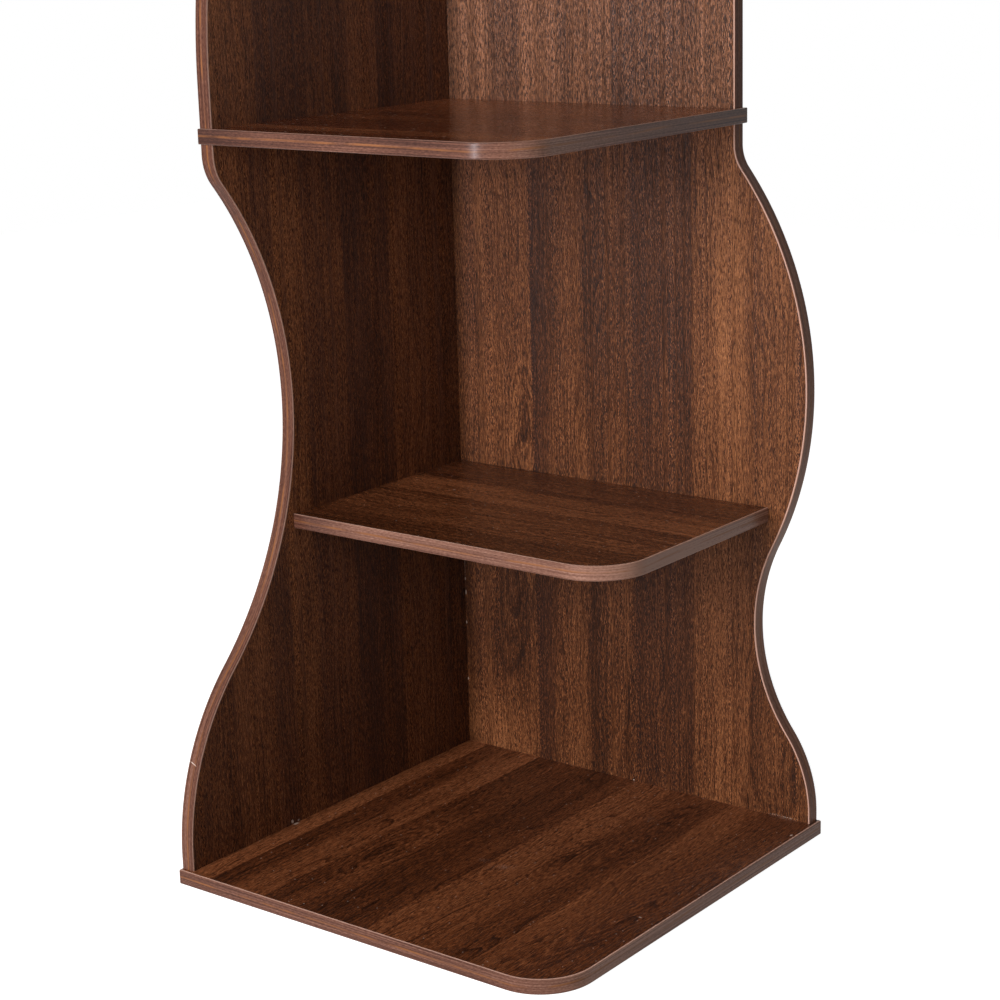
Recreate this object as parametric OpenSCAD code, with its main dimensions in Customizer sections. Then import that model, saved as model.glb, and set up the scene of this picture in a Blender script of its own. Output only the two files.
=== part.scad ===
// Curved corner shelf in five levels: two pairs of wave-edged side panels, boards between
// and below them, edge bands on every edge that shows, and cam fittings in every joint.
// Millimetres. X runs along the right-hand panels, Y to the back, Z up. The room's corner
// is at the left back, and the origin is the middle of the base board's underside.

/* [Boards] */
// Thickness of every board
board_t = 16; // [14:0.5:19]
// Thickness of the edge band
band_t = 2; // [0.8:0.1:3]
// Radius of the round front corner of each shelf board
corner_r = 60; // [30:5:80]

/* [Levels] */
// Side of the square base board
base_size = 500; // [480:5:560]
// Width of the middle board, along the right panels
middle_width = 404; // [395:1:415]
// Depth of the middle board, along the left panels
middle_depth = 407; // [395:1:415]
// Side of the square top board
top_size = 325; // [315:5:335]
// Height of the two lower panels
lower_panel_h = 765; // [740:5:800]
// Height of the two upper panels
upper_panel_h = 765; // [740:5:800]
// Free height between the base board and the lower shelf
lower_gap = 339; // [300:1:370]
// Free height between the middle board and the upper shelf
upper_gap = 339; // [300:1:370]

/* [Board edges against panel edges] */
// How far the base board stands out past the panels' feet
base_overhang = 5; // [2:0.5:10]
// How far the middle board stands out past the left panels
middle_overhang_left = 3; // [2:0.5:10]
// How far the middle board stands out past the right panels
middle_overhang_right = 5; // [2:0.5:10]
// How far the top board stands out past the upper panels
top_overhang = 5; // [2:0.5:10]
// How far the shelves stay behind the edge of the left panels
shelf_setback_left = 16; // [5:1:25]
// How far the shelves stay behind the edge of the right panels
shelf_setback_right = 22; // [5:1:25]

/* [Lower left panel edge] */
// Straight run above the foot
ll_foot_run = 14; // [5:1:25]
// Radius of the bulging foot curve
ll_foot_r = 275; // [240:5:320]
// Panel depth at the waist
ll_waist = 288; // [270:1:310]
// Radius of the curve under the middle board
ll_top_r = 50; // [30:1:60]
// Straight run under the middle board
ll_top_run = 11; // [8:1:30]

/* [Lower right panel edge] */
// Straight run above the foot
lr_foot_run = 10; // [5:1:25]
// Radius of the bulging foot curve
lr_foot_r = 150; // [130:5:170]
// Panel depth at the waist
lr_waist = 409; // [400:1:420]
// Radius of the waist
lr_waist_r = 200; // [180:5:220]
// Panel depth at the belly above the waist
lr_belly = 472; // [460:1:485]
// Radius of the hollow under the middle board
lr_top_r = 40; // [34:1:50]
// Straight run under the middle board
lr_top_run = 22; // [8:1:30]

/* [Upper left panel edge] */
// Straight run above the middle board
ul_foot_run = 48; // [20:1:60]
// Radius of the long bulge above it
ul_foot_r = 700; // [640:10:760]
// Panel depth at the waist
ul_waist = 250; // [240:1:265]
// Radius of the curve under the top board
ul_top_r = 40; // [30:1:60]
// Straight run under the top board
ul_top_run = 19; // [8:1:30]

/* [Upper right panel edge] */
// Straight run above the middle board
ur_foot_run = 115; // [95:1:135]
// Radius of the bulge above it
ur_foot_r = 150; // [130:5:170]
// Panel depth at the waist
ur_waist = 326; // [316:1:336]
// Radius of the waist
ur_waist_r = 200; // [180:5:220]
// Panel depth at the belly above the waist
ur_belly = 370; // [362:1:380]
// Radius of the hollow under the top board
ur_top_r = 40; // [30:1:55]
// Straight run under the top board
ur_top_run = 21; // [8:1:30]

/* [Joint places] */
// First fitting of a panel's foot or top, from the inner corner and from the front
joint_margin = 50; // [46:1:56]
// First and last fitting of the corner joint, from the panel's ends
corner_margin = 90; // [80:1:110]
// First and last fitting of a shelf's left edge
shelf_margin_left = 55; // [50:1:62]
// First fitting of a shelf's back edge, from the inner corner
shelf_margin_back = 90; // [84:1:96]
// Last fitting of a shelf's back edge, from its round corner end
shelf_margin_end = 88; // [82:1:92]
// Distance from a bolt to the dowel beside it
dowel_pitch = 32; // [28:1:36]

/* [Cam fittings] */
// Diameter of the cam disc
cam_d = 15; // [14:0.5:16]
// Height of the cam disc
cam_h = 12; // [11.5:0.1:12.5]
// Distance from the joint to the middle of the cam disc
cam_reach = 34; // [30:1:38]
// Gap round and under the cam disc in its housing
cam_clearance = 0.1; // [0.05:0.05:0.3]
// Diameter of the bolt's thread
thread_d = 5; // [4.5:0.1:6]
// Length of the bolt's thread
thread_l = 11; // [9:0.5:11.5]
// Diameter of the bolt's shank
shank_d = 7; // [6.6:0.1:7.4]
// Diameter of the bolt's neck
neck_d = 3.5; // [3:0.1:4]
// Diameter of the bolt's head
head_d = 6; // [5.6:0.1:6.4]
// Length of the bolt's head
head_l = 3; // [2.5:0.1:3.2]
// Gap round the bolt's shank in its hole
shank_clearance = 0.4; // [0.2:0.1:0.5]
// Gap round the bolt's thread and the dowels in their holes
fit_clearance = 0.05; // [0.02:0.01:0.1]

/* [Dowels] */
// Diameter of a dowel
dowel_d = 8; // [6:0.5:8.5]
// Length of a dowel in a panel's edge
dowel_edge = 19; // [15:1:24]
// Length of a dowel in a board's face
dowel_face = 11; // [9:0.5:11.5]
// Length of a dowel through the middle board
through_dowel_l = 50; // [42:1:56]
// Chamfer of a dowel's ends
dowel_chamfer = 1; // [0.5:0.1:1.5]

/* [Hidden] */

$fn = 64;
// Length of the steps along the arcs of the panels' edges, and the fewest in one arc
arc_step = 6;
arc_steps_min = 8;

// Colours of the finishes
walnut = "#4a2f22";
band_brown = "#6b4c3c";
zinc = "#b9bcbe";
beech = "#c9a678";

// Depths and reaches are measured from the panels' inner faces, which meet at this corner
inner = [-base_size / 2 + board_t, base_size / 2 - board_t];
base_reach = base_size - board_t;
middle_reach_x = middle_width - board_t;
middle_reach_y = middle_depth - board_t;
top_reach = top_size - board_t;

// Heights of the levels
lower_foot = board_t;
lower_top = lower_foot + lower_panel_h;
upper_foot = lower_top + board_t;
upper_top = upper_foot + upper_panel_h;
lower_shelf_z = lower_foot + lower_gap;
upper_shelf_z = upper_foot + upper_gap;

// Panel depths where a panel meets a board
foot_depth = base_reach - base_overhang;
middle_depth_left = middle_reach_y - middle_overhang_left;
middle_depth_right = middle_reach_x - middle_overhang_right;
top_depth = top_reach - top_overhang;

// The height between the centres of two touching arcs, of which one bulges and one is
// hollow, is sqrt(2 step sum - step^2): step is the change of depth and sum adds the radii.
function rise(step, sum) = sqrt(2 * step * sum - step * step);

// Radius that an arc needs between two others, so that the three climb exactly this far
function fitted_r(step_a, ra, step_b, rb, climb) =
    let(na = 2 * step_a * ra - step_a * step_a,
        nb = 2 * step_b * rb - step_b * step_b,
        share = step_a / step_b,
        k = climb * climb - na + share * nb,
        s = k / (climb + sqrt(climb * climb + (share - 1) * k)))
    (s * s - nb) / (2 * step_b);

// An edge is a list of arcs from the foot up, each [depth of centre, height of centre,
// radius, 1 where it bulges or -1 where it is hollow]. It runs straight before and after.
// Heights are counted from the panel's own foot.
function three_arc_edge(height, foot_d, foot_run, foot_r, waist, top_d, top_r, top_run) =
    let(waist_r = fitted_r(foot_d - waist, foot_r, top_d - waist, top_r,
                           height - foot_run - top_run))
    [[foot_d - foot_r, foot_run, foot_r, 1],
     [waist + waist_r, foot_run + rise(foot_d - waist, foot_r + waist_r), waist_r, -1],
     [top_d - top_r, height - top_run, top_r, 1]];

function four_arc_edge(height, foot_d, foot_run, foot_r, waist, waist_r, belly,
                       top_d, top_r, top_run) =
    let(waist_z = foot_run + rise(foot_d - waist, foot_r + waist_r),
        belly_r = fitted_r(belly - waist, waist_r, belly - top_d, top_r,
                           height - top_run - waist_z))
    [[foot_d - foot_r, foot_run, foot_r, 1],
     [waist + waist_r, waist_z, waist_r, -1],
     [belly - belly_r, waist_z + rise(belly - waist, waist_r + belly_r), belly_r, 1],
     [top_d + top_r, height - top_run, top_r, -1]];

ll_edge = three_arc_edge(lower_panel_h, foot_depth, ll_foot_run, ll_foot_r, ll_waist,
                         middle_depth_left, ll_top_r, ll_top_run);
lr_edge = four_arc_edge(lower_panel_h, foot_depth, lr_foot_run, lr_foot_r, lr_waist,
                        lr_waist_r, lr_belly, middle_depth_right, lr_top_r, lr_top_run);
ul_edge = three_arc_edge(upper_panel_h, middle_depth_left, ul_foot_run, ul_foot_r, ul_waist,
                         top_depth, ul_top_r, ul_top_run);
ur_edge = four_arc_edge(upper_panel_h, middle_depth_right, ur_foot_run, ur_foot_r, ur_waist,
                        ur_waist_r, ur_belly, top_depth, ur_top_r, ur_top_run);

// Radius of an arc whose edge is moved inwards
function inset_r(arc, inset) = arc[2] - arc[3] * inset;

// Height at which arc i touches the next one up, or ends in the straight run
function arc_end(edge, i, inset) =
    i < 0 ? edge[0][1]
    : i == len(edge) - 1 ? edge[i][1]
    : edge[i][1] + (edge[i + 1][1] - edge[i][1]) * inset_r(edge[i], inset)
      / (edge[i][2] + edge[i + 1][2]);

// Depth of an arc at a height
function arc_depth(arc, z, inset) =
    arc[0] + arc[3] * sqrt(pow(inset_r(arc, inset), 2) - pow(z - arc[1], 2));

// Depth of an edge at a height that lies on one of its arcs
function depth_on(edge, z, i = 0) =
    z > arc_end(edge, i, 0) && i < len(edge) - 1
        ? depth_on(edge, z, i + 1)
        : arc_depth(edge[i], z, 0);

// Points along arc i, without its first, which is the end of what comes before it
function arc_points(edge, i, inset) =
    let(r = inset_r(edge[i], inset),
        from_a = asin((arc_end(edge, i - 1, inset) - edge[i][1]) / r),
        to_a = asin((arc_end(edge, i, inset) - edge[i][1]) / r),
        steps = max(arc_steps_min, ceil(r * (to_a - from_a) * PI / 180 / arc_step)))
    [for (k = [1 : steps])
        let(a = from_a + (to_a - from_a) * k / steps)
        [edge[i][0] + edge[i][3] * r * cos(a), edge[i][1] + r * sin(a)]];

// The whole front line of a panel from foot to top
function front_line(edge, height, inset) =
    let(last = len(edge) - 1,
        foot_d = edge[0][0] + inset_r(edge[0], inset))
    concat([[foot_d, 0], [foot_d, edge[0][1]]],
           [for (i = [0 : last]) each arc_points(edge, i, inset)],
           [[edge[last][0] + edge[last][3] * inset_r(edge[last], inset), height]]);

function reversed(points) = [for (i = [len(points) - 1 : -1 : 0]) points[i]];

// How far each shelf reaches along the two panels, to a tenth of a millimetre
function reach_at(edge, gap, setback) =
    round(10 * (depth_on(edge, gap + board_t / 2) - setback)) / 10;
lower_reach_left = reach_at(ll_edge, lower_gap, shelf_setback_left);
lower_reach_right = reach_at(lr_edge, lower_gap, shelf_setback_right);
upper_reach_left = reach_at(ul_edge, upper_gap, shelf_setback_left);
upper_reach_right = reach_at(ur_edge, upper_gap, shelf_setback_right);

// Fitting places along a joint, counted from the inner corner or from a panel's foot.
// The bolts stand at the ends, and the dowels beside them on the inner side.
function row(first, last, kind) =
    kind == "bolts" ? [first, last] : [first + dowel_pitch, last - dowel_pitch];
function panel_row(depth, kind) = row(joint_margin, depth - joint_margin, kind);
function corner_row(height, kind) =
    concat(row(corner_margin, height - corner_margin, kind),
           [height / 2 + (kind == "bolts" ? 0 : dowel_pitch)]);
function shelf_row_left(reach, kind) =
    row(shelf_margin_left, reach - shelf_margin_left, kind);
function shelf_row_back(reach, kind) =
    row(shelf_margin_back, reach - shelf_margin_end, kind);

// Fitting sizes that follow from the others
thread_hole_d = thread_d + 2 * fit_clearance;
thread_hole_l = thread_l + 0.5;
shank_hole_d = shank_d + 2 * shank_clearance;
dowel_hole_d = dowel_d + 2 * fit_clearance;
dowel_spare = 0.5;
through_dowel_edge = (through_dowel_l - board_t) / 2;
housing_d = cam_d + 2 * cam_clearance;
housing_h = cam_h + cam_clearance;
// The cam's locking wall holds the head's shoulder just short of the disc's middle
lock_wall = 4;
lock_gap = 0.1;
chamber_r = 5.2;
chamber_room = 0.5;
head_start = cam_reach - lock_wall + lock_gap;
bolt_end = head_start + head_l;
shank_l = cam_reach - cam_d / 2 - 0.5;
cut = 0.1;

// Plan of a board: square behind, with one round corner at the front
module plan(reach_x, reach_y, back, inset) {
    translate(inner) {
        translate([-back, corner_r - reach_y])
            square([reach_x - inset + back, reach_y - corner_r + back]);
        translate([-back, inset - reach_y])
            square([reach_x - corner_r + back, reach_y - inset + back]);
        translate([reach_x - corner_r, corner_r - reach_y])
            circle(corner_r - inset);
    }
}

module board(reach_x, reach_y, back, z) {
    color(walnut)
        translate([0, 0, z])
            linear_extrude(board_t)
                plan(reach_x, reach_y, back, band_t);
}

// The band is what lies between the full plan and the plan of the board behind it
module board_band(reach_x, reach_y, back, z) {
    color(band_brown)
        translate([0, 0, z])
            linear_extrude(board_t)
                difference() {
                    plan(reach_x, reach_y, back, 0);
                    plan(reach_x, reach_y, back + cut, band_t);
                }
}

// Outline of a panel behind its edge band, and of the band itself
module panel_outline(edge, height, back) {
    polygon(concat([[-back, 0]], front_line(edge, height, band_t), [[-back, height]]));
}

module band_outline(edge, height) {
    polygon(concat(front_line(edge, height, 0), reversed(front_line(edge, height, band_t))));
}

// Both take an outline with depth as X and height as Y, and stand it in its wall's plane
module as_left_panel(foot_z) {
    translate([inner[0], inner[1], foot_z])
        rotate([0, 0, -90])
            rotate([90, 0, 0])
                linear_extrude(board_t)
                    children();
}

module as_right_panel(foot_z) {
    translate([inner[0], inner[1] + board_t, foot_z])
        rotate([90, 0, 0])
            linear_extrude(board_t)
                children();
}

// Places for fittings. What is drawn at them points along +Z and +X:
// +Z is the way the bolt points, and +X is the way out to the face that holds the cam.
module on_left_panel(depths, z) {
    for (d = depths)
        translate([inner[0] - board_t / 2, inner[1] - d, z])
            rotate([0, 0, 180])
                children();
}

module on_right_panel(depths, z) {
    for (d = depths)
        translate([inner[0] + d, inner[1] + board_t / 2, z])
            rotate([0, 0, 90])
                children();
}

// Along the inner corner, where the right panel's end meets the left panel's face
module in_corner(foot_z, heights) {
    for (h = heights)
        translate([inner[0], inner[1] + board_t / 2, foot_z + h])
            rotate([90, 0, 90])
                children();
}

module on_shelf_left(z, places) {
    for (p = places)
        translate([inner[0], inner[1] - p, z + board_t / 2])
            rotate([0, 90, 0])
                children();
}

module on_shelf_back(z, places) {
    for (p = places)
        translate([inner[0] + p, inner[1], z + board_t / 2])
            rotate([0, 0, -90])
                rotate([0, 90, 0])
                    children();
}

// Turned over, for a joint whose bolt points down
module downwards() {
    mirror([0, 0, 1])
        children();
}

// Half of a fitting's bolt: shank, neck and head from the joint to the cam
module bolt_half() {
    cylinder(d = shank_d, h = shank_l);
    cylinder(d = neck_d, h = head_start + head_l / 2);
    translate([0, 0, head_start])
        cylinder(d = head_d, h = head_l);
}

// Bolt with its thread in a board's face
module cam_bolt() {
    color(zinc)
        union() {
            bolt_half();
            translate([0, 0, -thread_l])
                cylinder(d = thread_d, h = thread_l + cut);
        }
}

// Bolt through a board, with a head at either end
module double_bolt() {
    color(zinc)
        union() {
            bolt_half();
            translate([0, 0, -board_t - cut])
                cylinder(d = shank_d, h = board_t + 2 * cut);
            translate([0, 0, -board_t])
                downwards()
                    bolt_half();
        }
}

// Cam disc in its locked place, with the head's chamber, the neck's slot and a cross recess
module cam_disc() {
    slot_w = neck_d + 0.8;
    mouth_d = head_d + 0.8;
    open_turn = 105;
    recess_l = 9;
    recess_w = 1.6;
    recess_h = 2.2;
    color(zinc)
        translate([board_t / 2, 0, cam_reach])
            rotate([0, 90, 0])
                difference() {
                    translate([0, 0, -cam_h])
                        cylinder(d = cam_d, h = cam_h);
                    translate([0, 0, -board_t / 2]) {
                        intersection() {
                            cylinder(r = chamber_r, h = head_d + chamber_room, center = true);
                            translate([-chamber_r - cut, -chamber_r - cut, -head_d])
                                cube([chamber_r + cut + lock_wall, 2 * (chamber_r + cut),
                                      2 * head_d]);
                        }
                        // Slot that the neck lies in, and that runs on while the disc turns
                        translate([0, -slot_w / 2, -slot_w / 2])
                            cube([cam_d, slot_w, slot_w]);
                        rotate_extrude(angle = open_turn)
                            translate([lock_wall - 1, -slot_w / 2])
                                square([cam_d / 2, slot_w]);
                        // Mouth that lets the head in
                        rotate([0, 0, open_turn])
                            rotate([0, 90, 0])
                                cylinder(d = mouth_d, h = cam_d);
                    }
                    // Cross recess for the driver
                    for (a = [45, 135])
                        rotate([0, 0, a])
                            translate([-recess_l / 2, -recess_w / 2, -recess_h])
                                cube([recess_l, recess_w, recess_h + cut]);
                }
}

// Dowel across a joint, with chamfered ends
module dowel(back_l, front_l) {
    length = back_l + front_l;
    r = dowel_d / 2;
    color(beech)
        translate([0, 0, -back_l])
            rotate_extrude()
                polygon([[0, 0], [r - dowel_chamfer, 0], [r, dowel_chamfer],
                         [r, length - dowel_chamfer], [r - dowel_chamfer, length],
                         [0, length]]);
}

// Holes in the piece that holds the cam: housing from its face, shank hole from its edge
module cam_holes() {
    translate([0, 0, -cut])
        cylinder(d = shank_hole_d, h = cam_reach + cut);
    translate([board_t / 2 - housing_h, 0, cam_reach])
        rotate([0, 90, 0])
            cylinder(d = housing_d, h = housing_h + cut);
}

// Hole for a dowel in an edge
module edge_hole(depth) {
    translate([0, 0, -cut])
        cylinder(d = dowel_hole_d, h = depth + dowel_spare + cut);
}

// Blind holes in the face that a bolt or a dowel stands in
module thread_hole() {
    translate([0, 0, -thread_hole_l])
        cylinder(d = thread_hole_d, h = thread_hole_l + cut);
}

module face_hole() {
    translate([0, 0, -dowel_face - dowel_spare])
        cylinder(d = dowel_hole_d, h = dowel_face + dowel_spare + cut);
}

module through_hole(d) {
    translate([0, 0, -cut])
        cylinder(d = d, h = board_t + 2 * cut);
}

// The joints: each draws its children at its bolts or at its dowels
module base_joint(kind) {
    on_left_panel(panel_row(foot_depth, kind), lower_foot)
        children();
    on_right_panel(panel_row(foot_depth, kind), lower_foot)
        children();
}

module middle_joint(kind, z) {
    on_left_panel(panel_row(middle_depth_left, kind), z)
        children();
    on_right_panel(panel_row(middle_depth_right, kind), z)
        children();
}

module top_joint(kind) {
    on_left_panel(panel_row(top_depth, kind), upper_top)
        downwards()
            children();
    on_right_panel(panel_row(top_depth, kind), upper_top)
        downwards()
            children();
}

module lower_corner(kind) {
    in_corner(lower_foot, corner_row(lower_panel_h, kind))
        children();
}

module upper_corner(kind) {
    in_corner(upper_foot, corner_row(upper_panel_h, kind))
        children();
}

module lower_shelf_left(kind) {
    on_shelf_left(lower_shelf_z, shelf_row_left(lower_reach_left, kind))
        children();
}

module lower_shelf_back(kind) {
    on_shelf_back(lower_shelf_z, shelf_row_back(lower_reach_right, kind))
        children();
}

module upper_shelf_left(kind) {
    on_shelf_left(upper_shelf_z, shelf_row_left(upper_reach_left, kind))
        children();
}

module upper_shelf_back(kind) {
    on_shelf_back(upper_shelf_z, shelf_row_back(upper_reach_right, kind))
        children();
}

module base_board() {
    color(walnut)
        difference() {
            board(base_reach, base_reach, board_t, 0);
            base_joint("bolts") thread_hole();
            base_joint("dowels") face_hole();
        }
}

module base_edge_band() {
    board_band(base_reach, base_reach, board_t, 0);
}

// Holes of the joints at both ends of the lower panels
module lower_panel_ends() {
    base_joint("bolts") cam_holes();
    base_joint("dowels") edge_hole(dowel_edge);
    middle_joint("bolts", lower_top) downwards() cam_holes();
    middle_joint("dowels", lower_top) downwards() edge_hole(through_dowel_edge);
}

// Holes of the joints at both ends of the upper panels
module upper_panel_ends() {
    middle_joint("bolts", upper_foot) cam_holes();
    middle_joint("dowels", upper_foot) edge_hole(through_dowel_edge);
    top_joint("bolts") cam_holes();
    top_joint("dowels") edge_hole(dowel_edge);
}

module left_panel_lower() {
    color(walnut)
        difference() {
            as_left_panel(lower_foot) panel_outline(ll_edge, lower_panel_h, board_t);
            lower_panel_ends();
            lower_corner("bolts") thread_hole();
            lower_corner("dowels") face_hole();
            lower_shelf_left("bolts") thread_hole();
            lower_shelf_left("dowels") face_hole();
        }
}

module left_panel_lower_band() {
    color(band_brown)
        as_left_panel(lower_foot) band_outline(ll_edge, lower_panel_h);
}

module right_panel_lower() {
    color(walnut)
        difference() {
            as_right_panel(lower_foot) panel_outline(lr_edge, lower_panel_h, 0);
            lower_panel_ends();
            lower_corner("bolts") cam_holes();
            lower_corner("dowels") edge_hole(dowel_edge);
            lower_shelf_back("bolts") thread_hole();
            lower_shelf_back("dowels") face_hole();
        }
}

module right_panel_lower_band() {
    color(band_brown)
        as_right_panel(lower_foot) band_outline(lr_edge, lower_panel_h);
}

module lower_shelf() {
    color(walnut)
        difference() {
            board(lower_reach_right, lower_reach_left, 0, lower_shelf_z);
            lower_shelf_left("bolts") cam_holes();
            lower_shelf_left("dowels") edge_hole(dowel_edge);
            lower_shelf_back("bolts") cam_holes();
            lower_shelf_back("dowels") edge_hole(dowel_edge);
        }
}

module lower_shelf_band() {
    board_band(lower_reach_right, lower_reach_left, 0, lower_shelf_z);
}

module middle_board() {
    color(walnut)
        difference() {
            board(middle_reach_x, middle_reach_y, board_t, lower_top);
            middle_joint("bolts", lower_top) through_hole(shank_hole_d);
            middle_joint("dowels", lower_top) through_hole(dowel_hole_d);
        }
}

module middle_edge_band() {
    board_band(middle_reach_x, middle_reach_y, board_t, lower_top);
}

module left_panel_upper() {
    color(walnut)
        difference() {
            as_left_panel(upper_foot) panel_outline(ul_edge, upper_panel_h, board_t);
            upper_panel_ends();
            upper_corner("bolts") thread_hole();
            upper_corner("dowels") face_hole();
            upper_shelf_left("bolts") thread_hole();
            upper_shelf_left("dowels") face_hole();
        }
}

module left_panel_upper_band() {
    color(band_brown)
        as_left_panel(upper_foot) band_outline(ul_edge, upper_panel_h);
}

module right_panel_upper() {
    color(walnut)
        difference() {
            as_right_panel(upper_foot) panel_outline(ur_edge, upper_panel_h, 0);
            upper_panel_ends();
            upper_corner("bolts") cam_holes();
            upper_corner("dowels") edge_hole(dowel_edge);
            upper_shelf_back("bolts") thread_hole();
            upper_shelf_back("dowels") face_hole();
        }
}

module right_panel_upper_band() {
    color(band_brown)
        as_right_panel(upper_foot) band_outline(ur_edge, upper_panel_h);
}

module upper_shelf() {
    color(walnut)
        difference() {
            board(upper_reach_right, upper_reach_left, 0, upper_shelf_z);
            upper_shelf_left("bolts") cam_holes();
            upper_shelf_left("dowels") edge_hole(dowel_edge);
            upper_shelf_back("bolts") cam_holes();
            upper_shelf_back("dowels") edge_hole(dowel_edge);
        }
}

module upper_shelf_band() {
    board_band(upper_reach_right, upper_reach_left, 0, upper_shelf_z);
}

module top_board() {
    color(walnut)
        difference() {
            board(top_reach, top_reach, board_t, upper_top);
            top_joint("bolts") thread_hole();
            top_joint("dowels") face_hole();
        }
}

module top_edge_band() {
    board_band(top_reach, top_reach, board_t, upper_top);
}

module base_joint_bolts() {
    base_joint("bolts") cam_bolt();
}

module base_joint_cams() {
    base_joint("bolts") cam_disc();
}

module base_joint_dowels() {
    base_joint("dowels") dowel(dowel_face, dowel_edge);
}

module lower_corner_bolts() {
    lower_corner("bolts") cam_bolt();
}

module lower_corner_cams() {
    lower_corner("bolts") cam_disc();
}

module lower_corner_dowels() {
    lower_corner("dowels") dowel(dowel_face, dowel_edge);
}

module lower_shelf_bolts() {
    lower_shelf_left("bolts") cam_bolt();
    lower_shelf_back("bolts") cam_bolt();
}

module lower_shelf_cams() {
    lower_shelf_left("bolts") cam_disc();
    lower_shelf_back("bolts") cam_disc();
}

module lower_shelf_dowels() {
    lower_shelf_left("dowels") dowel(dowel_face, dowel_edge);
    lower_shelf_back("dowels") dowel(dowel_face, dowel_edge);
}

module middle_joint_bolts() {
    middle_joint("bolts", upper_foot) double_bolt();
}

module middle_joint_lower_cams() {
    middle_joint("bolts", lower_top) downwards() cam_disc();
}

module middle_joint_upper_cams() {
    middle_joint("bolts", upper_foot) cam_disc();
}

module middle_joint_dowels() {
    middle_joint("dowels", upper_foot)
        dowel(board_t + through_dowel_edge, through_dowel_edge);
}

module upper_corner_bolts() {
    upper_corner("bolts") cam_bolt();
}

module upper_corner_cams() {
    upper_corner("bolts") cam_disc();
}

module upper_corner_dowels() {
    upper_corner("dowels") dowel(dowel_face, dowel_edge);
}

module upper_shelf_bolts() {
    upper_shelf_left("bolts") cam_bolt();
    upper_shelf_back("bolts") cam_bolt();
}

module upper_shelf_cams() {
    upper_shelf_left("bolts") cam_disc();
    upper_shelf_back("bolts") cam_disc();
}

module upper_shelf_dowels() {
    upper_shelf_left("dowels") dowel(dowel_face, dowel_edge);
    upper_shelf_back("dowels") dowel(dowel_face, dowel_edge);
}

module top_joint_bolts() {
    top_joint("bolts") cam_bolt();
}

module top_joint_cams() {
    top_joint("bolts") cam_disc();
}

module top_joint_dowels() {
    top_joint("dowels") dowel(dowel_face, dowel_edge);
}

base_board();
base_edge_band();
left_panel_lower();
left_panel_lower_band();
right_panel_lower();
right_panel_lower_band();
lower_shelf();
lower_shelf_band();
middle_board();
middle_edge_band();
left_panel_upper();
left_panel_upper_band();
right_panel_upper();
right_panel_upper_band();
upper_shelf();
upper_shelf_band();
top_board();
top_edge_band();
base_joint_bolts();
base_joint_cams();
base_joint_dowels();
lower_corner_bolts();
lower_corner_cams();
lower_corner_dowels();
lower_shelf_bolts();
lower_shelf_cams();
lower_shelf_dowels();
middle_joint_bolts();
middle_joint_lower_cams();
middle_joint_upper_cams();
middle_joint_dowels();
upper_corner_bolts();
upper_corner_cams();
upper_corner_dowels();
upper_shelf_bolts();
upper_shelf_cams();
upper_shelf_dowels();
top_joint_bolts();
top_joint_cams();
top_joint_dowels();
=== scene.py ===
import math

import bmesh
import bpy
from mathutils import Matrix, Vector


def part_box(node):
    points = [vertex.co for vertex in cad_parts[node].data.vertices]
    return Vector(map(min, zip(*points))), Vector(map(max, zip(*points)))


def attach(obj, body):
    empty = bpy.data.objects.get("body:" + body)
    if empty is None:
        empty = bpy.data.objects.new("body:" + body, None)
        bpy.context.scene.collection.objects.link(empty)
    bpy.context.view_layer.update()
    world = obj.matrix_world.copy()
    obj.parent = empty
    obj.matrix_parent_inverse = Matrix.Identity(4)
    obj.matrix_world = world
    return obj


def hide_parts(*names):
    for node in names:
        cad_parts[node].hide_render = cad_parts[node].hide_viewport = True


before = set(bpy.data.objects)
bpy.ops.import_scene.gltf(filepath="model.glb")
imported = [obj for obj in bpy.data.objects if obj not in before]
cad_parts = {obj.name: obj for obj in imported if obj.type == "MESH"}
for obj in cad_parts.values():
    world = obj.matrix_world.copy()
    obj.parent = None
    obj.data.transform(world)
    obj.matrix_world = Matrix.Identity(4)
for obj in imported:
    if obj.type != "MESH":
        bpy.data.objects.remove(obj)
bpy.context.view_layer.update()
bpy.ops.object.select_all(action="DESELECT")
print("frame loaded:", len(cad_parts), "nodes")

# Curved corner shelf in dark walnut. X runs along the right-hand panels, Y to the back.
# The panels' inner faces meet at x = -234 mm, y = 234 mm, and every decor is measured from there.
innerCorner = 234.0  # mm


# Small helpers
def linear(code):
    # sRGB hex to the linear colour that the shaders want
    parts = [int(code[i:i + 2], 16) / 255 for i in (0, 2, 4)]
    return [c / 12.92 if c <= 0.04045 else ((c + 0.055) / 1.055) ** 2.4 for c in parts] + [1.0]


def colourStops(tones):
    return [(position, linear(code)) for position, code in tones]


def addNode(tree, kind, settings=None, links=None):
    # a node with its settings, and each input either linked or given a value;
    # a colour Mix has its colours at 6 and 7 and its result at output 2
    made = tree.nodes.new("ShaderNode" + kind)
    for key, value in (settings or {}).items():
        if key == "stops":
            ramp = made.color_ramp
            while len(ramp.elements) < len(value):
                ramp.elements.new(0.5)
            for element, (position, colour) in zip(ramp.elements, value):
                element.position = position
            for element, (position, colour) in zip(ramp.elements, value):
                element.color = colour
        elif key == "blend":
            made.color_ramp.interpolation = value
        else:
            setattr(made, key, value)
    for socket, value in (links or {}).items():
        if isinstance(value, bpy.types.Node):
            value = value.outputs[0]
        if isinstance(value, bpy.types.NodeSocket):
            tree.links.new(value, made.inputs[socket])
        else:
            made.inputs[socket].default_value = value
    return made


def newMaterial(name, shaderValues):
    made = bpy.data.materials.new(name)
    made.use_nodes = True
    shader = made.node_tree.nodes["Principled BSDF"]
    for socket, value in shaderValues.items():
        shader.inputs[socket].default_value = value
    return made, made.node_tree, shader


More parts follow.
